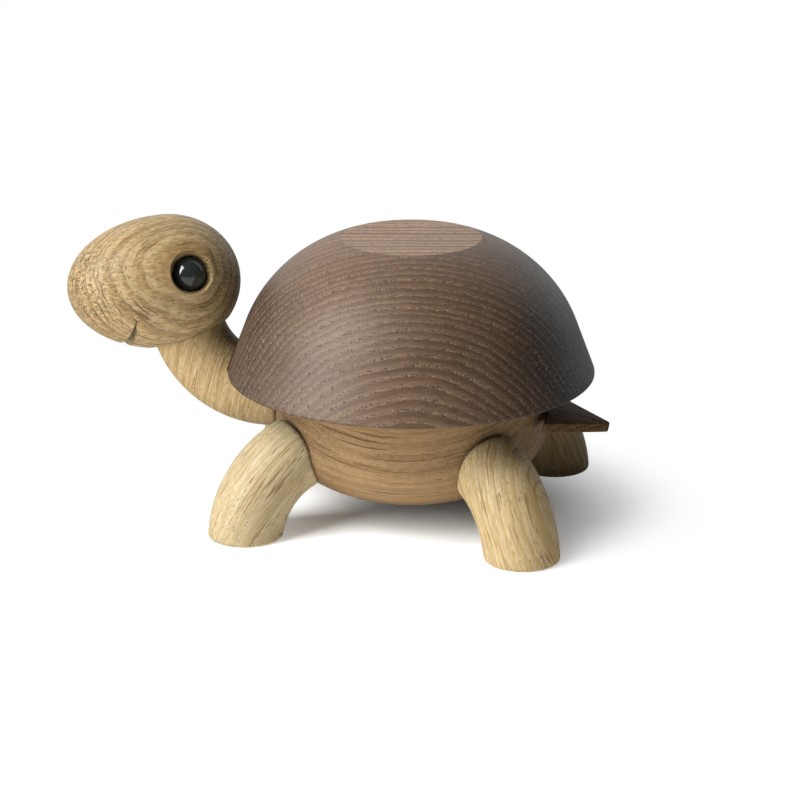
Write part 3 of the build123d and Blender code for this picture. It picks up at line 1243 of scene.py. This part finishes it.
def floorMaterial():
    # lit near the figure so that its shadow shows, plain white further out
    values = stageValues
    material, tree, shader = newMaterial("paleFloor")
    place = tree.nodes.new("ShaderNodeTexCoord").outputs["Object"]
    path = tree.nodes.new("ShaderNodeLightPath")
    shifted = tree.nodes.new("ShaderNodeVectorMath")
    shifted.operation = "SUBTRACT"
    shifted.inputs[1].default_value = fromView @ Vector(values["shadowShift"]).to_3d()
    tree.links.new(place, shifted.inputs[0])
    length = tree.nodes.new("ShaderNodeVectorMath")
    length.operation = "LENGTH"
    tree.links.new(shifted.outputs[0], length.inputs[0])
    far = ease(tree, length.outputs["Value"], values["shadowNear"], values["shadowFar"])
    fine = noise(tree, stretched(tree, place, *[values["floorCell"]] * 3), 3.0)
    paper = blend(tree, fine, *values["floorColour"])
    lightened = (*[values["seenGain"]] * 3, 1)
    paper = blend(tree, path.outputs["Is Camera Ray"], paper, lightened)
    tree.links.new(paper, shader.inputs["Base Color"])
    shader.inputs["Roughness"].default_value = values["floorRoughness"]
    shader.inputs["Specular IOR Level"].default_value = 0.0
    before = facing(tree, place, fromView @ Vector(values["bounceWay"]))
    before = ease(tree, before, 0.0, values["bounceReach"])
    lit = sums(tree, "MULTIPLY", path.outputs["Is Diffuse Ray"], before)
    tree.links.new(blend(tree, lit, (0, 0, 0, 1), values["bounce"]), shader.inputs["Emission Color"])
    shader.inputs["Emission Strength"].default_value = 1.0
    white = tree.nodes.new("ShaderNodeEmission")
    glow = ease(tree, path.outputs["Is Camera Ray"], 0.0, 1.0, values["floorGlow"], 1.0)
    tree.links.new(glow, white.inputs["Strength"])
    mix = tree.nodes.new("ShaderNodeMixShader")
    tree.links.new(sums(tree, "MULTIPLY", far, seenRays(tree, path)), mix.inputs[0])
    tree.links.new(shader.outputs[0], mix.inputs[1])
    tree.links.new(white.outputs[0], mix.inputs[2])
    side = tree.nodes.new("ShaderNodeNewGeometry")
    clear = tree.nodes.new("ShaderNodeBsdfTransparent")
    oneSided = tree.nodes.new("ShaderNodeMixShader")  # clear when seen from below
    tree.links.new(side.outputs["Backfacing"], oneSided.inputs[0])
    tree.links.new(mix.outputs[0], oneSided.inputs[1])
    tree.links.new(clear.outputs[0], oneSided.inputs[2])
    tree.links.new(oneSided.outputs[0], tree.nodes["Material Output"].inputs["Surface"])
    return material


def addFloor():
    values = stageValues
    mesh = bmesh.new()
    parts = values["floorParts"]
    bmesh.ops.create_grid(mesh, x_segments=parts, y_segments=parts, size=values["floorSize"])
    floor = meshObject("floor", mesh, axisPlace @ Matrix.Translation((0, 0, -values["floorDrop"])))
    floor.data.materials.append(floorMaterial())


def addBackdrop():
    # white for the camera, a dim room for the beads and next to no light on the figure
    values = stageValues
    world = bpy.data.worlds.new("studio")
    bpy.context.scene.world = world
    world.use_nodes = True
    tree = world.node_tree
    path = tree.nodes.new("ShaderNodeLightPath")
    where = tree.nodes.new("ShaderNodeTexCoord")
    behind = facing(tree, where.outputs["Generated"], fromView @ Vector((0, 1, 0)))
    behind = ease(tree, behind, *values["backdropSpan"], values["roomGlow"], 1.0)
    shown = sums(tree, "MAXIMUM", path.outputs["Is Camera Ray"], behind)
    strength = tree.nodes.new("ShaderNodeMix")
    tree.links.new(seenRays(tree, path), strength.inputs[0])
    strength.inputs[2].default_value = values["ambient"]
    tree.links.new(shown, strength.inputs[3])
    background = tree.nodes["Background"]
    tree.links.new(strength.outputs[0], background.inputs["Strength"])
    background.inputs["Color"].default_value = (1, 1, 1, 1)


def addLights():
    values = stageValues
    target = Vector((axisX, 0, values["aimHeight"]))
    for name in ("key", "fill"):
        around, lift = math.radians(values[name + "Around"]), math.radians(values[name + "Lift"])
        level = Vector((-math.sin(around), -math.cos(around), 0)) * math.cos(lift)
        way = fromView @ (level + Vector((0, 0, math.sin(lift))))
        data = bpy.data.lights.new(name + "Box", "AREA")
        data.shape = "RECTANGLE"
        data.size = values[name + "Width"]
        data.size_y = values[name + "Height"]
        data.energy = values[name + "Power"]
        box = bpy.data.objects.new(name + "Box", data)
        box.location = target + way * values[name + "Distance"]
        box.rotation_euler = way.to_track_quat("Z", "Y").to_euler()
        box.visible_glossy = name == "key"  # only the key shows in the beads
        bpy.context.scene.collection.objects.link(box)


addFloor()
addBackdrop()
addLights()
bpy.context.scene.view_settings.view_transform = "Standard"
print("stage lit")
